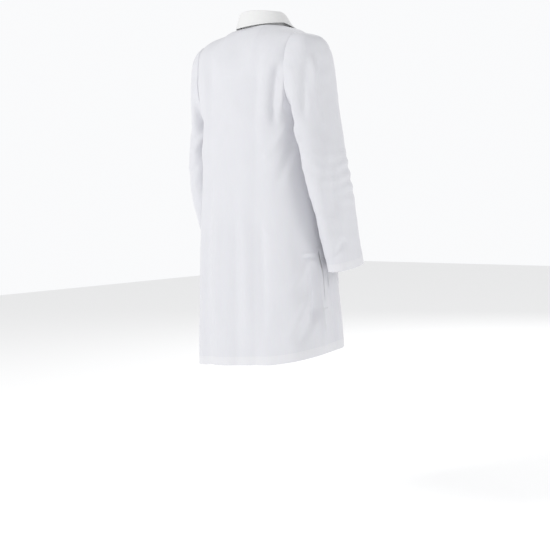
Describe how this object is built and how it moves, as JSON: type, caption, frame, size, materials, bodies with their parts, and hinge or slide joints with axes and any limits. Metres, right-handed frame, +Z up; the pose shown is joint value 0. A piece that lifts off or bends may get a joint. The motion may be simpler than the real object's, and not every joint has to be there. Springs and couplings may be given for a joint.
{
  "type": "lab coat",
  "caption": "Knee-length lab coat in thin white poly-cotton, with notched collar, patch pockets, side openings, bent sleeves and an open buttoned front.",
  "frame": {"origin": "centre of the neck opening at the height of the collar seam, where the coat hangs on the wearer's shoulders", "axes": "+Z up, the front of the coat faces -Y, the wearer's left is +X"},
  "size_m": [0.69, 0.3423, 1.0884],
  "materials": {
    "coat_cloth": "thin plain-weave poly-cotton, matt, slightly see-through",
    "collar_cloth": "the same cloth, interlined, a little warmer and stiffer",
    "button": "pearl white, satin gloss",
    "thread": "white polyester sewing thread",
    "label_satin": "blank woven satin"
  },
  "bodies": {
    "coat_body": {"back_panel": "coat_cloth", "back_neck_facing": "coat_cloth", "size_label": "label_satin", "hanger_loop": "coat_cloth", "under_collar": "collar_cloth", "upper_collar": "collar_cloth", "chest_pocket": "coat_cloth", "right_front_panel": "coat_cloth", "right_lapel": "collar_cloth", "right_lower_pocket": "coat_cloth", "right_side_opening_facing": "coat_cloth", "left_front_panel": "coat_cloth", "left_lapel": "collar_cloth", "left_lower_pocket": "coat_cloth", "left_side_opening_facing": "coat_cloth"},
    "right_upper_sleeve": {"right_sleeve_upper": "coat_cloth"},
    "right_lower_sleeve": {"right_sleeve_lower": "coat_cloth", "right_cuff_facing": "coat_cloth"},
    "right_front_edge": {"right_front_edge": "coat_cloth", "right_front_facing": "coat_cloth", "button_1": "button", "button_2": "button", "button_3": "button", "button_4": "button", "button_5": "button", "button_thread_1": "thread", "button_thread_2": "thread", "button_thread_3": "thread", "button_thread_4": "thread", "button_thread_5": "thread"},
    "left_upper_sleeve": {"left_sleeve_upper": "coat_cloth"},
    "left_lower_sleeve": {"left_sleeve_lower": "coat_cloth", "left_cuff_facing": "coat_cloth"},
    "left_front_edge": {"left_front_edge": "coat_cloth", "left_front_facing": "coat_cloth"}
  },
  "joints": [
    {"name": "right_shoulder_raise", "type": "hinge", "parent": "coat_body", "child": "right_upper_sleeve", "pos_m": [-0.168, 0, -0.165], "axis": [0, 1, 0], "range_deg": [0, 60]},
    {"name": "right_elbow_bend", "type": "hinge", "parent": "right_upper_sleeve", "child": "right_lower_sleeve", "pos_m": [-0.285, 0, -0.43], "axis": [-1, 0, 0], "range_deg": [-10, 60]},
    {"name": "left_shoulder_raise", "type": "hinge", "parent": "coat_body", "child": "left_upper_sleeve", "pos_m": [0.168, 0, -0.165], "axis": [0, -1, 0], "range_deg": [0, 60]},
    {"name": "left_elbow_bend", "type": "hinge", "parent": "left_upper_sleeve", "child": "left_lower_sleeve", "pos_m": [0.285, 0, -0.43], "axis": [-1, 0, 0], "range_deg": [-10, 60]},
    {"name": "right_front_swing", "type": "hinge", "parent": "coat_body", "child": "right_front_edge", "pos_m": [-0.13344, -0.12787, -0.33982], "axis": [-0.0523, 0, -0.9986], "range_deg": [-15, 60]},
    {"name": "left_front_swing", "type": "hinge", "parent": "coat_body", "child": "left_front_edge", "pos_m": [0.13344, -0.12787, -0.33995], "axis": [-0.0509, 0, 0.9987], "range_deg": [-15, 60]}
  ]
}
